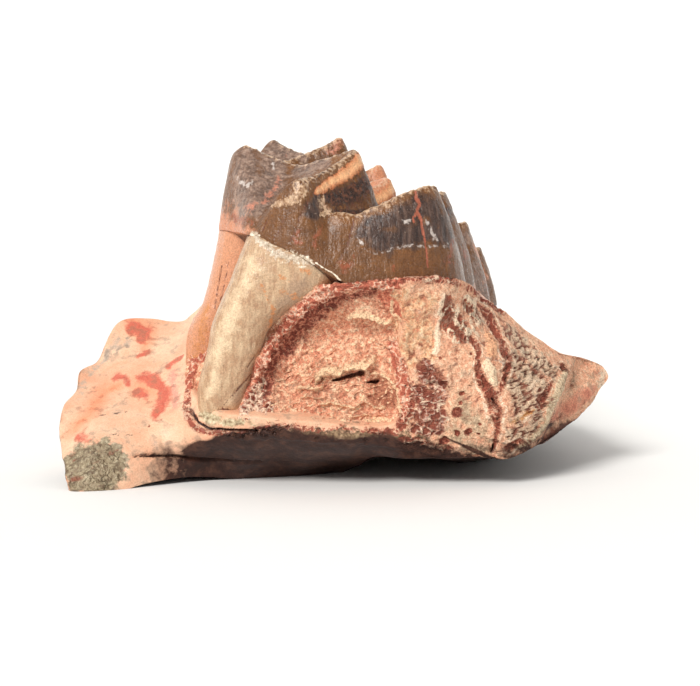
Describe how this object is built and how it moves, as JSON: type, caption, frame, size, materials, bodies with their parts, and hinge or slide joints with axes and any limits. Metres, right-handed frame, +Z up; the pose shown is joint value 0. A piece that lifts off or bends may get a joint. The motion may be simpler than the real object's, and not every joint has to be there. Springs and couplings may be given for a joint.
{
  "type": "fossil oreodont jaw section",
  "caption": "Broken piece of a fossil upper jaw, turned teeth up: crescent-cusped molars on long roots in cream bone, with red siltstone left in the hollow between the roots.",
  "frame": {"origin": "bottom centre of the bounding box, on the plane that the jaw lies on", "axes": "+Z up, towards the chewing side; the broken rear end faces -Y, the tooth row runs to +Y, the cheek side is -X and the palate side is +X"},
  "size_m": [0.0494, 0.0516, 0.03],
  "materials": {
    "cream_bone": "mineralised bone, dull, smooth on the outer side and rough where it is broken",
    "red_siltstone": "crumbly, matt, with small ledges",
    "brown_enamel": "fossil enamel, satin, darker to the chewing side; cream on the roots"
  },
  "bodies": {
    "root": {"jaw_bone": "cream_bone", "siltstone_matrix": "red_siltstone", "rear_molar": "brown_enamel", "middle_molar": "brown_enamel", "front_molar": "brown_enamel"}
  },
  "joints": []
}
